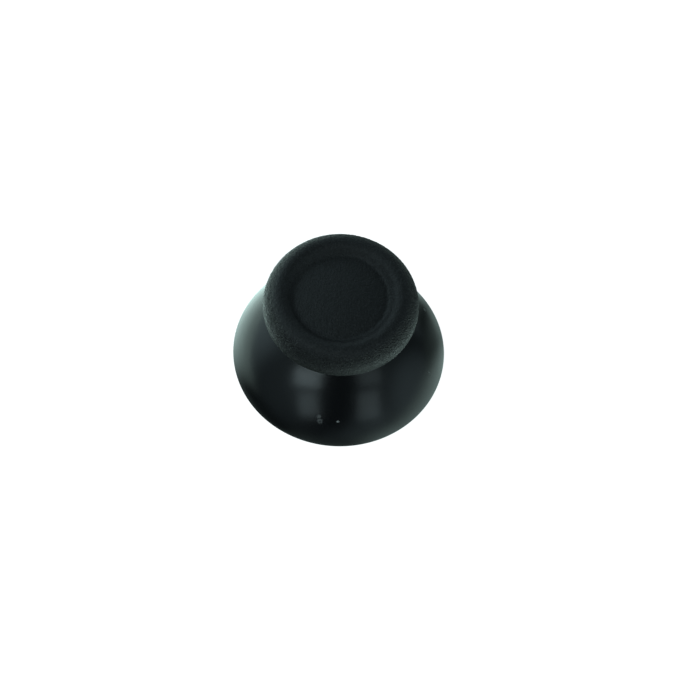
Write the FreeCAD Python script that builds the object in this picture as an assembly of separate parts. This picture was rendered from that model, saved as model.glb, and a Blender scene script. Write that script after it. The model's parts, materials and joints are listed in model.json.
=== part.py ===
import FreeCAD, Part
import math
import os
from FreeCAD import Vector

# Thumb stick of a game controller: the cap that the thumb pushes, which presses onto the flatted
# lever of a joystick sensor. It is a two-shot moulding of two pieces, bonded for good:
#   stick_body  hard plastic: the domed skirt, the waisted neck, the core plate inside the grip,
#               and under the skirt the socket post with its webs
#   grip_pad    soft rubber moulded over the core plate: a thick rounded rim, a dished top with a
#               gently crowned middle, a lip that wraps under the plate and keys in its edge
#
# Frame: +Z up along the stick, origin at the middle of the ring that it stands on.
# All lengths are in millimetres and all angles in degrees.

# Skirt: part of a ball about the sensor's pivot, so that it slides under the shell's round hole
rim_r = 12.6  # outer radius where it stands, before the edges are chamfered
pivot_depth = 6.7  # how far the pivot lies below the rim
wall = 1.1  # of the skirt and of the neck
rim_chamfer = 0.12

# Neck, from the skirt up to the grip
waist_r = 5.2
waist_height = 1.4  # straight part of the waist
foot_curve = 2.6  # radius of the hollow curve from skirt to waist
flare_curve = 1.2  # radius of the hollow curve from waist to grip

# Grip, the rubber's outer form
grip_r = 9.0
low_round = 0.6  # below the widest place
side_round = 3.5  # radius of the side's curve above it
side_turn = 48.0  # how far the side leans in where the crest begins
crest_round = 1.3  # from the side over the crest into the dish
dish_slope = 46.0  # of the dish's wall
dish_margin = 3.7  # from the widest place in to the crowned middle's edge
crown_rise = 0.6  # of the middle above its edge

# Rubber over, round and under the core plate
skin_over = 0.55  # at the crowned middle's edge
skin_side = 1.2
skin_under = 0.7
key_count = 4
key_width = 1.6
key_depth = 0.8  # how far the rubber keys reach into the plate's edge

# Socket post, which takes the sensor's lever
lever_r = 2.0
lever_flats = 3.0  # distance between the lever's two flats
lever_reach = 6.2  # how far the lever enters
lever_clearance = 0.02
post_wall = 1.0
post_recess = 1.0  # how far the post's end stays above the rim
post_chamfer = 0.25
socket_chamfer = 0.2

# Webs between post and skirt
web_count = 4
web_turn = 45.0  # from the first key to the first web
web_thickness = 0.8
web_low = 1.8  # height of the lower edge at the post
web_high = 3.0  # height of the lower edge at the skirt

# Radii and heights that follow from the sizes above
ball_r = math.hypot(rim_r, pivot_depth)
foot_r = waist_r + foot_curve
foot_top = math.sqrt((ball_r + foot_curve) ** 2 - foot_r**2) - pivot_depth
flare_low = foot_top + waist_height
flare_r = waist_r + flare_curve
grip_low = flare_low + flare_curve
widest = grip_low + low_round
crown_r = grip_r - dish_margin
plate_r = grip_r - skin_side
plate_low = grip_low + skin_under
post_r = lever_r + post_wall
socket_r = lever_r + lever_clearance
socket_flats = lever_flats + 2 * lever_clearance


def line(a, b):
    return Part.LineSegment(Vector(a[0], 0, a[1]), Vector(b[0], 0, b[1])).toShape()


def path(*points):
    """Straight edges of a section, from point to point."""
    return [line(a, b) for a, b in zip(points, points[1:])]


def on_circle(centre, radius, angle):
    turn = math.radians(angle)
    return centre[0] + radius * math.cos(turn), centre[1] + radius * math.sin(turn)


def arc(centre, radius, start, end):
    """A round edge of a section, between two angles counted from straight outwards."""
    points = [on_circle(centre, radius, angle) for angle in (start, (start + end) / 2, end)]
    return Part.Arc(*[Vector(r, 0, z) for r, z in points]).toShape()


def angle_at(centre, point):
    return math.degrees(math.atan2(point[1] - centre[1], point[0] - centre[0]))


# Grip's section: the side's arc leans in to the crest's smaller one, and a straight slope leads down
# to the crown's large arc. The dish's depth follows from the slope and the crown's radius.
side_centre = (grip_r - side_round, widest)
crest_centre = on_circle(side_centre, side_round - crest_round, side_turn)
slope_top = on_circle(crest_centre, crest_round, 90 + dish_slope)
crown_ball = (crown_r**2 + crown_rise**2) / (2 * crown_rise)
dish_low = slope_top[1] - (slope_top[0] - crown_r) * math.tan(math.radians(dish_slope))
crown_centre = (0, dish_low + crown_rise - crown_ball)
plate_high = dish_low - skin_over


def turned(edges):
    """The solid that a closed section makes when it is turned about the stick's axis."""
    section = Part.Face(Part.Wire(Part.__sortEdges__(edges)))
    return section.revolve(Vector(0, 0, 0), Vector(0, 0, 1), 360)


def spread(shape, count, first=0.0):
    """Copies of a shape, evenly spaced about the stick's axis and joined as one shape."""
    copies = []
    for i in range(count):
        copy = shape.copy()
        copy.rotate(Vector(0, 0, 0), Vector(0, 0, 1), first + 360 * i / count)
        copies.append(copy)
    return copies[0].multiFuse(copies[1:])


def circles_at(solid, height):
    """The circular edges of a solid that lie at one height."""
    level = [e for e in solid.Edges if e.BoundBox.ZLength < 1e-4]
    return [e for e in level if e.Closed and abs(e.BoundBox.ZMin - height) < 1e-4]


def ball_reach(radius, height):
    """How far from the axis a ball about the sensor's pivot reaches at a height."""
    return math.sqrt(radius**2 - (pivot_depth + height) ** 2)


def shell():
    """Skirt, neck and core plate as one hollow form."""
    pivot = (0, -pivot_depth)
    foot = (foot_r, foot_top)
    foot_angle = angle_at(pivot, foot)
    rim = (rim_r, 0)
    outside = turned(
        [
            arc(pivot, ball_r, angle_at(pivot, rim), foot_angle),
            arc(foot, foot_curve, foot_angle - 180, -180),
            line((waist_r, foot_top), (waist_r, flare_low)),
            arc((flare_r, flare_low), flare_curve, 180, 90),
        ]
        + path(
            (flare_r, grip_low),
            (flare_r, plate_low),
            (plate_r, plate_low),
            (plate_r, plate_high),
            (0, plate_high),
            (0, 0),
            rim,
        )
    )
    shell_body = outside.cut(hollow(wall))
    return shell_body.makeChamfer(rim_chamfer, circles_at(shell_body, 0))


def hollow(inset):
    """The space under a skirt and in a neck whose inside lies inset within the outside."""
    pivot = (0, -pivot_depth)
    inner_r = ball_r - inset
    rim = (ball_reach(inner_r, 0), 0)
    neck_hole_r = waist_r - inset
    neck_foot = (neck_hole_r, math.sqrt(inner_r**2 - neck_hole_r**2) - pivot_depth)
    roof = plate_low + wall - inset
    return turned(
        [arc(pivot, inner_r, angle_at(pivot, rim), angle_at(pivot, neck_foot))]
        + path(neck_foot, (neck_hole_r, roof), (0, roof), (0, 0), rim)
    )


def web():
    """One web along X, from inside the post's wall to inside the skirt's wall."""
    start = post_r - post_wall / 2
    slope = (web_high - web_low) / (rim_r - post_r)
    low = web_low - slope * (post_r - start)
    corners = [(start, low), (rim_r, web_high), (rim_r, plate_high), (start, plate_high)]
    side = Part.Face(Part.Wire(path(*corners, corners[0])))
    side.translate(Vector(0, -web_thickness / 2, 0))
    slab = side.extrude(Vector(0, web_thickness, 0))
    return slab.common(hollow(wall / 2))


def lever_space():
    """The double-D hole that the lever fills."""
    round_hole = Part.makeCylinder(socket_r, lever_reach, Vector(0, 0, post_recess))
    corner = Vector(-socket_r, -socket_flats / 2, post_recess)
    return round_hole.common(Part.makeBox(2 * socket_r, socket_flats, lever_reach, corner))


def post():
    """The socket post, from its chamfered end up into the core plate."""
    height = plate_low + wall / 2 - post_recess
    solid = Part.makeCylinder(post_r, height, Vector(0, 0, post_recess))
    solid = solid.makeChamfer(post_chamfer, circles_at(solid, post_recess))
    solid = solid.cut(lever_space())
    inner = post_r - post_chamfer - 1e-3
    mouth = [
        e
        for e in solid.Edges
        if abs(e.BoundBox.ZMin - post_recess) < 1e-4
        and e.BoundBox.ZLength < 1e-4
        and max(e.BoundBox.XMax, e.BoundBox.YMax) < inner
    ]
    return solid.makeChamfer(socket_chamfer, mouth)


def keys():
    """Where rubber takes the place of plastic in the core plate's edge."""
    reach = key_depth + skin_side / 2
    corner = Vector(plate_r - key_depth, -key_width / 2, plate_low)
    return spread(Part.makeBox(reach, key_width, plate_high - plate_low, corner), key_count)


def stick_body():
    webs = spread(web(), web_count, web_turn)
    return shell().multiFuse([post(), webs]).cut(keys()).removeSplitter()


def grip_pad():
    pad = turned(
        path((flare_r, grip_low), (grip_r - low_round, grip_low))
        + [
            arc((grip_r - low_round, widest), low_round, -90, 0),
            arc(side_centre, side_round, 0, side_turn),
            arc(crest_centre, crest_round, side_turn, 90 + dish_slope),
            line(slope_top, (crown_r, dish_low)),
            arc(crown_centre, crown_ball, angle_at(crown_centre, (crown_r, dish_low)), 90),
        ]
        + path(
            (0, dish_low + crown_rise),
            (0, plate_high),
            (plate_r, plate_high),
            (plate_r, plate_low),
            (flare_r, plate_low),
            (flare_r, grip_low),
        )
    )
    return pad.fuse(keys()).removeSplitter()


if __name__ == "__main__":
    os.makedirs("parts", exist_ok=True)
    for make in (stick_body, grip_pad):
        name = make.__name__
        shape = make()
        shape = shape.Solids[0] if len(shape.Solids) == 1 else shape
        shape.exportStep(f"parts/{name}.step")
        print(name, shape.ShapeType, shape.isValid(), round(shape.Volume, 2), len(shape.Faces))
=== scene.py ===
import json
import math
import bpy
from mathutils import Matrix, Vector

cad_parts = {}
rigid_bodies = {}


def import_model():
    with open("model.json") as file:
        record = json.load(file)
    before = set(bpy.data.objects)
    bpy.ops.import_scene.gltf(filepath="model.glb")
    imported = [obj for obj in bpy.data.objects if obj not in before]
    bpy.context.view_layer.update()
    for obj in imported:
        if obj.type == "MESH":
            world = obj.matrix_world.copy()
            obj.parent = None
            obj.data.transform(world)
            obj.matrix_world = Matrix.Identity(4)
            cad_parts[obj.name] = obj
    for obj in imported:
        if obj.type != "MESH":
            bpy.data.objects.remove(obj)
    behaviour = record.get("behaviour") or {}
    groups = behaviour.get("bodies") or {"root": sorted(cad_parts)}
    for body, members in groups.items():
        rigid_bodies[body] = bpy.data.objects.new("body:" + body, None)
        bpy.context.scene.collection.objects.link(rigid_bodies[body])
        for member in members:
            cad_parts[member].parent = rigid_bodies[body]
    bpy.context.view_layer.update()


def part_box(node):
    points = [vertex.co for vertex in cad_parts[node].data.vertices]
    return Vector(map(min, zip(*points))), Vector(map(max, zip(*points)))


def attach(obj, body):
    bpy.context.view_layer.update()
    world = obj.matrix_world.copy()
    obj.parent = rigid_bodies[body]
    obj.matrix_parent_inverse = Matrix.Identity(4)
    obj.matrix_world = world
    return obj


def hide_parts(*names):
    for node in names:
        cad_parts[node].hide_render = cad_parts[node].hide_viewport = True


# Thumb stick of a game controller, standing on its skirt: a hard black moulding with a soft rubber
# grip moulded over its top. Lengths are in metres and angles in degrees.
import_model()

mm = 0.001
touching = 1e-7  # points nearer than this are one


# Points and directions
# A turned piece is drawn as half a section: points of (radius, height), from the axis and back to it.


def on_circle(centre, radius, degrees):
    turn = math.radians(degrees)
    return centre[0] + radius * math.cos(turn), centre[1] + radius * math.sin(turn)


def angle_at(centre, point):
    return math.degrees(math.atan2(point[1] - centre[1], point[0] - centre[0]))


def arc(centre, radius, start, end, step):
    """Points of a section along an arc, about step apart."""
    count = max(2, math.ceil(abs(math.radians(end - start)) * radius / step))
    return [on_circle(centre, radius, start + (end - start) * i / count) for i in range(count + 1)]


def run(a, b, step):
    """Points of a section along a straight stretch, about step apart."""
    count = max(1, math.ceil(math.dist(a, b) / step))
    return [tuple(p + (q - p) * i / count for p, q in zip(a, b)) for i in range(count + 1)]


def joined(*stretches):
    """One list of section points from stretches that follow each other."""
    points = []
    for stretch in stretches:
        points += [p for p in stretch if not points or math.dist(p, points[-1]) > touching]
    return points


def direction(azimuth, elevation):
    """A direction from the stick: azimuth 0 is the front, and it grows to the right."""
    a = math.radians(azimuth)
    e = math.radians(elevation)
    return Vector((math.sin(a) * math.cos(e), -math.cos(a) * math.cos(e), math.sin(e)))


def shown(name, data):
    """An object of a mesh, a lamp or a camera, in the scene."""
    made = bpy.data.objects.new(name, data)
    bpy.context.scene.collection.objects.link(made)
    return made


# Node trees


class Wire:
    """A socket of a node tree. Arithmetic on it adds Math nodes to the tree."""

    def __init__(self, bench, socket):
        self.bench = bench
        self.socket = socket

    def __add__(self, other):
        return self.bench.calculate("ADD", self, other)

    def __sub__(self, other):
        return self.bench.calculate("SUBTRACT", self, other)

    def __rsub__(self, other):
        return self.bench.calculate("SUBTRACT", other, self)

    def __mul__(self, other):
        return self.bench.calculate("MULTIPLY", self, other)

    def __truediv__(self, other):
        return self.bench.calculate("DIVIDE", self, other)

    def __rtruediv__(self, other):
        return self.bench.calculate("DIVIDE", other, self)

    __radd__ = __add__
    __rmul__ = __mul__


class Bench:
    """A node tree under construction: of a material, of the world or of Geometry Nodes."""

    def __init__(self, tree):
        self.tree = tree
        self.tree.nodes.clear()

    def node(self, kind, settings=None, sockets=None, output=0):
        made = self.tree.nodes.new(kind)
        for name, value in (settings or {}).items():
            setattr(made, name, value)
        for key, value in (sockets or {}).items():
            if isinstance(value, Wire):
                self.tree.links.new(value.socket, made.inputs[key])
            else:
                made.inputs[key].default_value = value
        return Wire(self, made.outputs[output]) if made.outputs else None

    def calculate(self, operation, *values):
        return self.node("ShaderNodeMath", {"operation": operation}, dict(enumerate(values)))

    def on_vectors(self, operation, sockets, output="Value"):
        return self.node("ShaderNodeVectorMath", {"operation": operation}, sockets, output)

    def step(self, value, low, high):
        """0 below low and 1 above high, eased between; the other way round if low is over high."""
        sockets = {"Value": value, "From Min": low, "From Max": high}
        return self.node("ShaderNodeMapRange", {"interpolation_type": "SMOOTHSTEP"}, sockets)

    def colours(self, mask, under, over):
        """The colour under where mask is 0 and the colour over where it is 1."""
        return self.node("ShaderNodeMix", {"data_type": "RGBA"}, {0: mask, 6: under, 7: over}, 2)

    def mixed(self, mask, under, over):
        """The shader under where mask is 0 and the shader over where it is 1."""
        return self.node("ShaderNodeMixShader", {}, {0: mask, 1: under, 2: over})

    def glow(self, place, azimuth, elevation, outer, inner):
        """1 within inner degrees of a direction and 0 beyond outer degrees."""
        nearness = self.on_vectors("DOT_PRODUCT", {0: place, 1: direction(azimuth, elevation)})
        return self.step(nearness, math.cos(math.radians(outer)), math.cos(math.radians(inner)))


class Finish(Bench):
    """A material under construction, on Object coordinates."""

    def __init__(self, name):
        self.material = bpy.data.materials.new(name)
        self.material.use_nodes = True
        super().__init__(self.material.node_tree)
        self.place = self.node("ShaderNodeTexCoord", output="Object")

    def grain(self, size, detail, roughness=0.5):
        """Noise from 0 to 1 whose lumps are about size across."""
        sockets = {"Vector": self.place, "Scale": 1 / size, "Detail": detail, "Roughness": roughness}
        return self.node("ShaderNodeTexNoise", {}, sockets)

    def specks(self, spacing, edge, rare):
        """Round specks, 1 in their middles: one in each cell, spacing across, whose chance is over rare."""
        core = 0.03  # where a speck's full paleness ends, a share of spacing as edge is
        ease = 0.02
        sockets = {"Vector": self.place, "Scale": 1 / spacing, "Randomness": 1.0}
        away = self.node("ShaderNodeTexVoronoi", {}, sockets, "Distance")
        tint = self.node("ShaderNodeTexVoronoi", {}, sockets, "Color")
        chance = self.node("ShaderNodeSeparateColor", {}, {0: tint}, "Red")
        return self.step(away, edge, core) * self.step(chance, rare, rare + ease)

    def principled(self, colour, roughness, ior, height, depth):
        """The material with one Principled surface, whose bump is as deep as depth."""
        normal = self.node("ShaderNodeBump", {}, {"Height": height, "Distance": depth})
        sockets = {"Base Color": colour, "Roughness": roughness, "IOR": ior, "Normal": normal}
        return self.closed(self.node("ShaderNodeBsdfPrincipled", {}, sockets))

    def closed(self, shader):
        """The material with a shader as its surface."""
        self.node("ShaderNodeOutputMaterial", {}, {"Surface": shader})
        return self.material


class Shaper(Bench):
    """A Geometry Nodes tree under construction. Its first input is the geometry of a source object."""

    def __init__(self, name, kinds):
        self.group = bpy.data.node_groups.new(name, "GeometryNodeTree")
        super().__init__(self.group)
        self.group.interface.new_socket("Geometry", in_out="OUTPUT", socket_type="NodeSocketGeometry")
        self.ids = {}
        for label, kind in kinds.items():
            made = self.group.interface.new_socket(label, in_out="INPUT", socket_type="NodeSocket" + kind)
            self.ids[label] = made.identifier
        source = self.tree.nodes.new("NodeGroupInput")
        self.given = {label: Wire(self, source.outputs[label]) for label in kinds}

    def close(self, shape):
        """Gives the shape its material and makes it the tree's result."""
        sockets = {"Geometry": shape, "Material": self.given["Material"]}
        self.node("NodeGroupOutput", {}, {"Geometry": self.node("GeometryNodeSetMaterial", {}, sockets)})

    def piece(self, name, source, values):
        """A finished object with the mesh that the tree makes of a source object. The source goes."""
        modifier = source.modifiers.new(self.group.name, "NODES")
        modifier.node_group = self.group
        for label, value in values.items():
            modifier[self.ids[label]] = value
        evaluated = source.evaluated_get(bpy.context.evaluated_depsgraph_get())
        mesh = bpy.data.meshes.new_from_object(evaluated)
        mesh.name = name
        bpy.data.objects.remove(source)
        return shown(name, mesh)


# Turned pieces


def turning_tree():
    """Spins a section about the stick's axis and gives the skin that this makes a grain."""
    grain_detail = 1.5
    crisp = 38  # an edge that bends by more degrees than this stays sharp
    kinds = {
        "Section": "Geometry",
        "Segments": "Int",
        "Grain size": "Float",
        "Grain height": "Float",
        "Seed": "Float",
        "Material": "Material",
    }
    t = Shaper("turning", kinds)
    section = t.given["Section"]
    segments = t.given["Segments"]
    rows = t.node("GeometryNodeAttributeDomainSize", {}, {"Geometry": section}, "Point Count")
    sheet = t.node("GeometryNodeMeshGrid", {}, {"Vertices X": segments + 1, "Vertices Y": rows}, "Mesh")
    index = t.node("GeometryNodeInputIndex")
    row = t.calculate("FLOORED_MODULO", index, rows)
    column = t.calculate("FLOOR", (index + 0.5) / rows)
    here = t.node("GeometryNodeInputPosition")
    taken = {"Geometry": section, "Value": here, "Index": row}
    point = t.node("GeometryNodeSampleIndex", {"data_type": "FLOAT_VECTOR"}, taken)
    turned = {"Vector": point, "Angle": column / segments * math.tau}
    spun = t.node("ShaderNodeVectorRotate", {"rotation_type": "Z_AXIS"}, turned)
    shape = t.node("GeometryNodeSetPosition", {}, {"Geometry": sheet, "Position": spun})
    shape = t.node("GeometryNodeMergeByDistance", {}, {"Geometry": shape, "Distance": touching})

    noise_sockets = {
        "Vector": here,
        "W": t.given["Seed"],
        "Scale": 1 / t.given["Grain size"],
        "Detail": grain_detail,
    }
    lump = t.node("ShaderNodeTexNoise", {"noise_dimensions": "4D"}, noise_sockets)
    normal = t.node("GeometryNodeInputNormal")
    push = t.on_vectors("SCALE", {0: normal, "Scale": (lump - 0.5) * t.given["Grain height"]}, "Vector")
    shape = t.node("GeometryNodeSetPosition", {}, {"Geometry": shape, "Offset": push})
    shape = t.node("GeometryNodeRealizeInstances", {}, {"Geometry": shape})

    bend = t.node("GeometryNodeInputMeshEdgeAngle", output="Unsigned Angle")
    sharp = t.node("FunctionNodeCompare", {"operation": "GREATER_THAN"}, {0: bend, 1: math.radians(crisp)})
    shape = t.node("GeometryNodeSetShadeSmooth", {"domain": "FACE"}, {"Geometry": shape})
    edge_sockets = {"Geometry": shape, "Selection": sharp, "Shade Smooth": False}
    t.close(t.node("GeometryNodeSetShadeSmooth", {"domain": "EDGE"}, edge_sockets))
    return t


def section_object(name, points):
    """The open line of a section, standing in the XZ plane."""
    mesh = bpy.data.meshes.new(name)
    edges = [(i, i + 1) for i in range(len(points) - 1)]
    mesh.from_pydata([(r, 0, z) for r, z in points], edges, [])
    return shown(name, mesh)


def turned_piece(name, points, material, segments, grain_size=mm, grain_height=0.0, seed=0.0):
    """A closed turned piece from its section, which starts and ends on the axis."""
    values = {
        "Segments": segments,
        "Grain size": grain_size,
        "Grain height": grain_height,
        "Seed": seed,
        "Material": material,
    }
    return turning.piece(name, section_object(name + "_section", points), values)


turning = turning_tree()


# Stick moulding
# The stick is one hard plastic moulding: domed skirt, waisted neck and the plate that the rubber
# grips. It is thin-walled and hollow below, and has a satin surface with a few small marks on it.

rim_r = 12.6 * mm
pivot_depth = 6.7 * mm
wall = 1.1 * mm
rim_round = 0.14 * mm
waist_r = 5.2 * mm
waist_height = 1.4 * mm
foot_curve = 2.6 * mm
flare_curve = 1.2 * mm
neck_corner = 0.5 * mm
skin_under = 0.7 * mm
skin_side = 1.2 * mm
grip_r = 9.0 * mm

# Marks of handling on the skirt: azimuth, height, radius and paleness, which is under 0 for the dark
# middle of a ring
skirt_marks = [
    (-10.65, 3.08 * mm, 0.30 * mm, 0.24),
    (-9.65, 2.69 * mm, 0.40 * mm, 0.28),
    (-9.65, 2.66 * mm, 0.20 * mm, -0.18),
    (1.55, 2.83 * mm, 0.15 * mm, 1.2),
    (116.8, 2.20 * mm, 0.28 * mm, 0.35),
    (73.0, 2.11 * mm, 0.16 * mm, 0.3),
]
mark_core = 0.45  # the share of a mark's radius that has its full paleness
mark_fray = 0.5 * mm  # how ragged its edge is

plastic_black = (0.0052, 0.0053, 0.0060, 1)
plastic_clouded = (0.0068, 0.0069, 0.0078, 1)
plastic_worn = (0.42, 0.41, 0.4, 1)
plastic_ior = 1.46
plastic_texture = 0.006 * mm


def ball_reach(radius, height):
    """How far a ball about the sensor's pivot reaches from the axis, at a height."""
    return math.sqrt(radius**2 - (pivot_depth + height) ** 2)


def ball_height(radius, reach):
    """How high a ball about the sensor's pivot is, at a distance from the axis."""
    return math.sqrt(radius**2 - reach**2) - pivot_depth


pivot = (0, -pivot_depth)
ball_r = math.hypot(rim_r, pivot_depth)
foot_r = waist_r + foot_curve
foot_top = ball_height(ball_r + foot_curve, foot_r)
flare_low = foot_top + waist_height
flare_r = waist_r + flare_curve
grip_low = flare_low + flare_curve
plate_low = grip_low + skin_under
plate_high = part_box("stick_body")[1].z
plate_r = grip_r - skin_side


def on_skirt(azimuth, height):
    """A point of the skirt's outside."""
    return direction(azimuth, 0) * ball_reach(ball_r, height) + Vector((0, 0, height))


def satin_plastic():
    """Black moulded plastic: satin, with a fine texture, faint cloudiness, specks and a few marks."""
    f = Finish("satin_plastic")
    cloud = f.grain(4 * mm, 3)
    satin = f.grain(0.16 * mm, 3, 0.6)
    peel = f.grain(1.1 * mm, 1)
    ragged = (f.grain(0.12 * mm, 2) - 0.5) * mark_fray
    scuff = 0.0
    for azimuth, height, radius, paleness in skirt_marks:
        away = f.on_vectors("DISTANCE", {0: f.place, 1: on_skirt(azimuth, height)})
        scuff = f.step(away + ragged, radius, mark_core * radius) * paleness + scuff
    pale = scuff + f.specks(0.9 * mm, 0.06, 0.93) * 0.08
    colour = f.colours(pale, f.colours(cloud, plastic_black, plastic_clouded), plastic_worn)
    roughness = 0.2 + cloud * 0.05 + pale * 0.3
    relief = satin * 0.5 + peel + scuff * 0.5
    return f.principled(colour, roughness, plastic_ior, relief, plastic_texture)


stick_plastic = satin_plastic()
shell_segments = 256

# Centres of the rim's two small curves, and of the one where the neck's bore meets the skirt's inside
inner_ball = ball_r - wall
neck_hole_r = waist_r - wall
rim_outside = (ball_reach(ball_r - rim_round, rim_round), rim_round)
rim_inside = (ball_reach(inner_ball + rim_round, rim_round), rim_round)
bend_r = neck_hole_r + neck_corner
bend = (bend_r, ball_height(inner_ball + neck_corner, bend_r))

foot_angle = angle_at(pivot, (foot_r, foot_top))
outside_angle = angle_at(pivot, rim_outside)
inside_angle = angle_at(pivot, rim_inside)
bend_angle = angle_at(pivot, bend)

# Spacing of the section's points, closest where it bends most and widest where the rubber hides it
rim_step = 0.04 * mm
corner_step = 0.12 * mm
foot_step = 0.16 * mm
skirt_step = 0.22 * mm
waist_step = 0.3 * mm
inside_step = 0.4 * mm
bore_step = 0.8 * mm
seat_step = 1.0 * mm
roof_step = 1.4 * mm
plate_step = 2.6 * mm

stick_section = joined(
    run((0, plate_high), (plate_r, plate_high), plate_step),
    run((plate_r, plate_high), (plate_r, plate_low), seat_step),
    run((plate_r, plate_low), (flare_r, plate_low), seat_step),
    run((flare_r, plate_low), (flare_r, grip_low), seat_step),
    arc((flare_r, flare_low), flare_curve, 90, 180, corner_step),
    run((waist_r, flare_low), (waist_r, foot_top), waist_step),
    arc((foot_r, foot_top), foot_curve, 180, foot_angle + 180, foot_step),
    arc(pivot, ball_r, foot_angle, outside_angle, skirt_step),
    arc(rim_outside, rim_round, outside_angle, -90, rim_step),
    run((rim_outside[0], 0), (rim_inside[0], 0), inside_step),
    arc(rim_inside, rim_round, -90, inside_angle - 180, rim_step),
    arc(pivot, inner_ball, inside_angle, bend_angle, inside_step),
    arc(bend, neck_corner, bend_angle - 180, -180, corner_step),
    run((neck_hole_r, bend[1]), (neck_hole_r, plate_low), bore_step),
    run((neck_hole_r, plate_low), (0, plate_low), roof_step),
)
stick_shell = turned_piece("stick_shell", stick_section, stick_plastic, shell_segments)
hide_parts("stick_body")
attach(stick_shell, "root")


# Socket post
# Under the skirt the moulding has a post in its middle. Its end is chamfered, and the hole in it has
# two flats, so that the sensor's lever goes in only one way and can't turn.

lever_r = 2.0 * mm
lever_flats = 3.0 * mm
lever_reach = 6.2 * mm
lever_clearance = 0.02 * mm
post_wall = 1.0 * mm
post_recess = 1.0 * mm
post_chamfer = 0.25 * mm
post_root = 0.4 * mm  # how far the post and the webs reach into the core plate
post_segments = 192
post_crisp = 30  # an edge of the post that bends by more degrees than this stays sharp
socket_chamfer = 0.2 * mm

post_r = lever_r + post_wall
post_top = plate_low + post_root
socket_r = lever_r + lever_clearance
socket_half = lever_flats / 2 + lever_clearance
socket_top = post_recess + lever_reach


def flatted(radius, half_width):
    """The outline of a round hole with two flats, as one radius for each direction round the post."""
    reaches = []
    for i in range(post_segments):
        across = abs(math.sin(math.tau * i / post_segments))
        reaches.append(half_width / across if across * radius > half_width else radius)
    return reaches


def ringed_mesh(name, rings):
    """A closed mesh through rings, each a height and a radius for every direction, capped at both ends."""
    count = post_segments
    points = []
    for height, reaches in rings:
        for i, reach in enumerate(reaches):
            points.append((*on_circle((0, 0), reach, 360 * i / count), height))
    faces = []
    for k in range(len(rings) - 1):
        for i in range(count):
            j = (i + 1) % count
            faces.append((k * count + i, k * count + j, (k + 1) * count + j, (k + 1) * count + i))
    last = (len(rings) - 1) * count
    faces.append(tuple(reversed(range(count))))
    faces.append(tuple(last + i for i in range(count)))
    mesh = bpy.data.meshes.new(name)
    mesh.from_pydata(points, [], faces)
    return mesh


post_rings = [
    (post_top, [post_r] * post_segments),
    (post_recess + post_chamfer, [post_r] * post_segments),
    (post_recess, [post_r - post_chamfer] * post_segments),
    (post_recess, flatted(socket_r + socket_chamfer, socket_half + socket_chamfer)),
    (post_recess + socket_chamfer, flatted(socket_r, socket_half)),
    (socket_top, flatted(socket_r, socket_half)),
]
post_mesh = ringed_mesh("socket_post", post_rings)
post_mesh.materials.append(stick_plastic)
post_mesh.shade_smooth()
post_mesh.set_sharp_from_angle(angle=math.radians(post_crisp))
socket_post = shown("socket_post", post_mesh)
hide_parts("stick_body")
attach(socket_post, "root")


# Webs
# Four thin webs, moulded with the rest, stiffen the post against the skirt. Their lower edges slope
# up from the post to the skirt, clear of the sensor's ring.

web_count = 4
web_turn = 45.0
web_thickness = 0.8 * mm
web_low = 1.8 * mm
web_high = 3.0 * mm
web_step = 0.8 * mm


def web_outline():
    """Corners of a web seen from the side, as (radius, height). Its ends lie inside the walls."""
    start = post_r - post_wall / 2
    ball = ball_r - wall / 2
    neck = waist_r - wall / 2
    low_angle = angle_at(pivot, (ball_reach(ball, web_high), web_high))
    high_angle = angle_at(pivot, (neck, ball_height(ball, neck)))
    skirt_end = arc(pivot, ball, low_angle, high_angle, web_step)
    return joined([(start, web_low)], skirt_end, [(neck, post_top), (start, post_top)])


def web_slab():
    """One web along X."""
    outline = web_outline()
    count = len(outline)
    points = [(r, side * web_thickness / 2, z) for side in (-1, 1) for r, z in outline]
    faces = [tuple(range(count)), tuple(reversed(range(count, 2 * count)))]
    for i in range(count):
        j = (i + 1) % count
        faces.append((j, i, count + i, count + j))
    mesh = bpy.data.meshes.new("web")
    mesh.from_pydata(points, [], faces)
    return shown("web", mesh)


def spreading_tree():
    """Sets copies of a piece evenly about the stick's axis."""
    kinds = {"Piece": "Geometry", "Count": "Int", "First": "Float", "Material": "Material"}
    t = Shaper("spreading", kinds)
    points = t.node("GeometryNodePoints", {}, {"Count": t.given["Count"]})
    angle = t.node("GeometryNodeInputIndex") / t.given["Count"] * math.tau + t.given["First"]
    turn = t.node("ShaderNodeCombineXYZ", {}, {"Z": angle})
    placed = {"Points": points, "Instance": t.given["Piece"], "Rotation": turn}
    copies = t.node("GeometryNodeInstanceOnPoints", {}, placed)
    t.close(t.node("GeometryNodeRealizeInstances", {}, {"Geometry": copies}))
    return t


web_values = {"Count": web_count, "First": math.radians(web_turn), "Material": stick_plastic}
socket_webs = spreading_tree().piece("socket_webs", web_slab(), web_values)
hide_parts("stick_body")
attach(socket_webs, "root")


# Grip
# Soft black rubber moulded over the plate: a thick rounded rim, a dished top with a gently crowned
# middle, and a lip that wraps under the plate. Its whole skin has a fine, matte, rough grain.

low_round = 0.6 * mm
side_round = 3.5 * mm
side_turn = 48.0
crest_round = 1.3 * mm
dish_slope = 46.0
dish_corner = 0.6 * mm
dish_margin = 3.5 * mm  # 0.2 mm under the solid's, because the groove's curve draws this edge in
crown_rise = 0.6 * mm

skin_grain = 0.18 * mm
skin_relief = 0.15 * mm
skin_seed = 3.0
grip_segments = 560

# Painted light on the grain: the first colour is painted shade for its pits, the second painted highlights
# for its tips
rubber_painted_shade = (0.0100, 0.0104, 0.0107, 1)
rubber_painted_highlight = (0.0200, 0.0208, 0.0214, 1)
rubber_specks = (0.12, 0.125, 0.125, 1)
rubber_ior = 1.42
rubber_texture = 0.09 * mm

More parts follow.
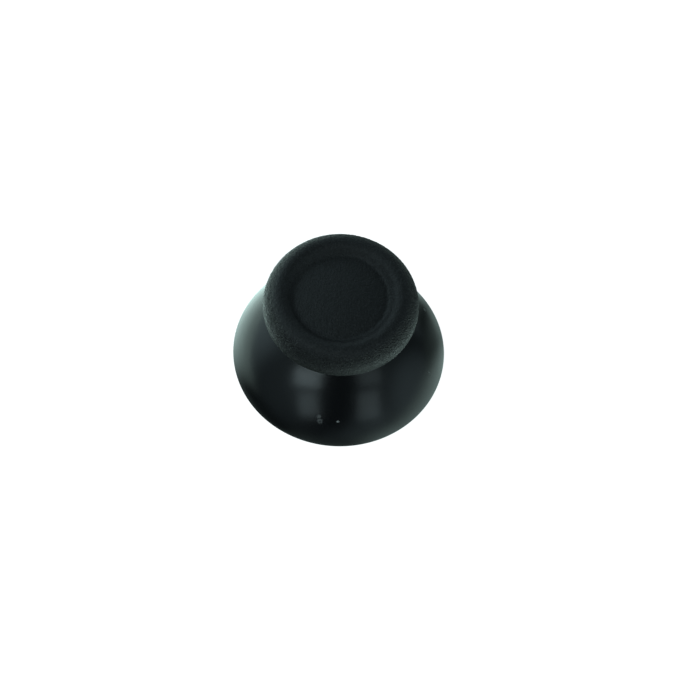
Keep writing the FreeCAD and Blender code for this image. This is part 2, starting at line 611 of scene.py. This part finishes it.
widest = grip_low + low_round
low_centre = (grip_r - low_round, widest)
side_centre = (grip_r - side_round, widest)
crest_centre = on_circle(side_centre, side_round - crest_round, side_turn)
slope_top = on_circle(crest_centre, crest_round, 90 + dish_slope)
slope_turn = math.radians(dish_slope)
crown_r = grip_r - dish_margin
crown_ball = (crown_r**2 + crown_rise**2) / (2 * crown_rise)
dish_low = slope_top[1] - (slope_top[0] - crown_r) * math.tan(slope_turn)
crown_centre = (0, dish_low + crown_rise - crown_ball)

# The groove's small curve touches the crown's ball and the dish's slope.
below_slope = (crown_ball - crown_rise) * math.cos(slope_turn) - crown_r * math.sin(slope_turn)
groove_lean = math.acos((below_slope + dish_corner) / (crown_ball + dish_corner))
groove_angle = 90 + dish_slope - math.degrees(groove_lean)
groove = on_circle(crown_centre, crown_ball + dish_corner, groove_angle)
slope_foot = on_circle(groove, dish_corner, dish_slope - 90)


def grained_rubber():
    """Matte black rubber: a rough grain, deepest on the side, with painted shade in its pits and painted
    highlights on its tips, and a few specks.
    """
    f = Finish("grained_rubber")
    coarse = f.grain(0.16 * mm, 1)
    cloud = f.grain(3 * mm, 2)
    level_place = f.on_vectors("MULTIPLY", {0: f.place, 1: (1, 1, 0)}, "Vector")
    radius = f.on_vectors("LENGTH", {0: level_place})
    height = f.node("ShaderNodeSeparateXYZ", {}, {0: f.place}, "Z")
    side = f.step(radius, grip_r - 1.4 * mm, grip_r - 0.5 * mm)
    lip = f.step(height, widest + 0.8 * mm, widest)
    # Painted shade in the grain's pits and painted highlights on its tips, following its bumps
    colour = f.colours(f.step(coarse, 0.42, 0.72), rubber_painted_shade, rubber_painted_highlight)
    colour = f.colours(f.specks(1.1 * mm, 0.07, 0.92) * 0.35, colour, rubber_specks)
    roughness = 0.38 + cloud * 0.08 - side * 0.08 + lip * 0.25
    relief = coarse * (side * 3.3 + 1)
    return f.principled(colour, roughness, rubber_ior, relief, rubber_texture)


# Spacing of the section's points: even on the skin, whose grain needs it, and wide where it is hidden
skin_step = 0.095 * mm
groove_step = 0.06 * mm
lip_step = 0.35 * mm
under_step = 0.7 * mm
core_step = 0.6 * mm

grip_section = joined(
    arc(crown_centre, crown_ball, 90, groove_angle, skin_step),
    arc(groove, dish_corner, groove_angle - 180, dish_slope - 90, groove_step),
    run(slope_foot, slope_top, skin_step),
    arc(crest_centre, crest_round, 90 + dish_slope, side_turn, skin_step),
    arc(side_centre, side_round, side_turn, 0, skin_step),
    arc(low_centre, low_round, 0, -90, skin_step),
    run((grip_r - low_round, grip_low), (flare_r, grip_low), skin_step),
    run((flare_r, grip_low), (flare_r, plate_low), lip_step),
    run((flare_r, plate_low), (plate_r, plate_low), under_step),
    run((plate_r, plate_low), (plate_r, plate_high), core_step),
    run((plate_r, plate_high), (0, plate_high), plate_step),
)
grip_rubber = grained_rubber()
grip = turned_piece("grip", grip_section, grip_rubber, grip_segments, skin_grain, skin_relief, skin_seed)
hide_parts("grip_pad")
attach(grip, "root")


# Table
# White to the camera and to soft light. Parts of it glow only in reflections, and show in the gloss.

white = (1, 1, 1, 1)
table_grey = (0.8, 0.8, 0.8, 1)
table_tint = (0.79, 1.075, 1.02, 1)
table_half = 0.6
table_drop = 0.02 * mm  # below the rim, so that the two never lie in one plane
camera_fill = 0.92  # what the camera sees beyond the light that falls on the table

# Glowing parts: azimuth, outer and inner edge in degrees either side, strength
table_glows = [(-127, 62, 24, 1.5), (56, 48, 12, 1.03), (4, 40, 20, 0.22), (100, 26, 8, 0.17)]
table_low_glow = 0.03
foot_glow = (150, 26, 10)
foot_strength = 0.3
near_gain = 0.55


def white_table():
    """White from above, with bright parts for reflections, and clear from below."""
    f = Finish("white_table")
    lit = f.node("ShaderNodeBsdfDiffuse", {}, {"Color": table_grey})
    bright = f.node("ShaderNodeEmission", {}, {"Color": white, "Strength": camera_fill})
    seen = f.node("ShaderNodeAddShader", {}, {0: lit, 1: bright})
    way = f.on_vectors("NORMALIZE", {0: f.place}, "Vector")
    reach = f.on_vectors("LENGTH", {0: f.place})
    near = f.step(reach, 28 * mm, 13 * mm)
    close = f.step(reach, 16 * mm, 13 * mm)
    pools = table_low_glow
    for azimuth, outer, inner, strength in table_glows:
        pools = f.glow(way, azimuth, 0, outer, inner) * strength + pools
    azimuth, outer, inner = foot_glow
    foot = (close + f.glow(way, azimuth, 0, outer, inner)) * foot_strength
    strength = pools * (near * near_gain + 1.0) + foot
    reflected = f.node("ShaderNodeEmission", {}, {"Color": table_tint, "Strength": strength})
    shader = f.mixed(f.node("ShaderNodeLightPath", output="Is Glossy Ray"), lit, reflected)
    shader = f.mixed(f.node("ShaderNodeLightPath", output="Is Camera Ray"), shader, seen)
    clear = f.node("ShaderNodeBsdfTransparent", {}, {"Color": white})
    return f.closed(f.mixed(f.node("ShaderNodeNewGeometry", output="Backfacing"), shader, clear))


table_signs = ((-1, -1), (1, -1), (1, 1), (-1, 1))
table_corners = [(x * table_half, y * table_half, -table_drop) for x, y in table_signs]
table_mesh = bpy.data.meshes.new("table")
table_mesh.from_pydata(table_corners, [], [(0, 1, 2, 3)])
table_mesh.materials.append(white_table())
table = shown("table", table_mesh)


# Tent
# A white tent that glows most at the back left, and is open in front, where the camera looks in.

tent_tint = (0.765, 1.045, 1.12, 1)
tent_low_glow = 0.09
opening_place = (4, 36, 42, 20)  # azimuth, elevation, outer and inner edge in degrees
opening_dark = 0.85

# Glowing parts: azimuth, elevation, reach in degrees, strength
tent_glows = [
    (-140, 25, 50, 0.55),
    (-112, 4, 30, 0.3),
    (-60, 30, 40, 0.13),
    (30, 3, 28, 0.28),
    (60, 30, 40, 0.11),
    (4, 0, 18, 0.14),
    (80, 6, 34, 0.36),
    (145, 2, 28, 0.3),
]
glow_core = 0.3  # the share of its reach within which a part has its full strength

world = bpy.data.worlds.new("tent")
bpy.context.scene.world = world
world.use_nodes = True
tent = Bench(world.node_tree)
facing = tent.node("ShaderNodeTexCoord", output="Generated")
shine = (1 - tent.glow(facing, *opening_place) * opening_dark) * tent_low_glow
for azimuth, elevation, reach, strength in tent_glows:
    shine = tent.glow(facing, azimuth, elevation, reach, glow_core * reach) * strength + shine
cloth = tent.node("ShaderNodeBackground", {}, {"Color": tent_tint, "Strength": shine})
backdrop = tent.node("ShaderNodeBackground", {}, {"Color": white, "Strength": 1.0})
sky = tent.mixed(tent.node("ShaderNodeLightPath", output="Is Camera Ray"), cloth, backdrop)
tent.node("ShaderNodeOutputWorld", {}, {"Surface": sky})


# Softboxes
# Two at the front left and two at the front right, which show as soft patches in the glossy skirt.

lamp_tint = (0.82, 1.04, 1.09)
lamp_distance = 0.5


def softbox(name, low, high, width, radiance):
    """A lamp whose lit face runs between two directions, seen from the stick, width degrees wide."""
    a = direction(*low) * lamp_distance
    b = direction(*high) * lamp_distance
    middle = (a + b) / 2
    along = (b - a).normalized()
    back = (middle - along * middle.dot(along)).normalized()
    turn = Matrix((along.cross(back), along, back)).transposed()
    lamp = bpy.data.lights.new(name, "AREA")
    lamp.shape = "RECTANGLE"
    lamp.size = 2 * lamp_distance * math.tan(math.radians(width / 2))
    lamp.size_y = (b - a).length
    lamp.energy = radiance * math.pi * lamp.size * lamp.size_y
    lamp.color = lamp_tint
    shown(name, lamp).matrix_world = Matrix.Translation(middle) @ turn.to_4x4()


softbox("left_low", (-24, 19), (-36, 39), 19, 1.08)
softbox("left_high", (-42, 43), (-57, 57), 26, 2.1)
softbox("right_low", (31, 17), (41, 41), 20, 0.85)
softbox("right_high", (48, 45), (62, 57), 22, 0.6)


# Camera
# It looks down at the stick from 62 degrees above the table, with a long lens and a slight roll, as
# in the photograph.

camera_distance = 0.35
camera_elevation = 61.95
camera_roll = 2.74
camera_lens = 158.6
camera_near = 0.01
looked_at = Vector((0, 0, 6 * mm))
aim_right = 0.026 * mm
aim_down = 1.40 * mm


def camera_turn(back):
    """The turn of a camera whose back faces a direction, with its roll."""
    level = back.to_track_quat("Z", "Y").to_matrix()
    return level @ Matrix.Rotation(math.radians(camera_roll), 3, "Z")


back = direction(0, camera_elevation)
eye = looked_at + back * camera_distance
picture = camera_turn(back)
aim = looked_at + picture.col[0] * aim_right - picture.col[1] * aim_down
camera_data = bpy.data.cameras.new("camera")
camera_data.lens = camera_lens
camera_data.clip_start = camera_near
camera = shown("camera", camera_data)
camera.matrix_world = Matrix.Translation(eye) @ camera_turn((eye - aim).normalized()).to_4x4()
bpy.context.scene.camera = camera
bpy.context.scene.view_settings.view_transform = "Standard"
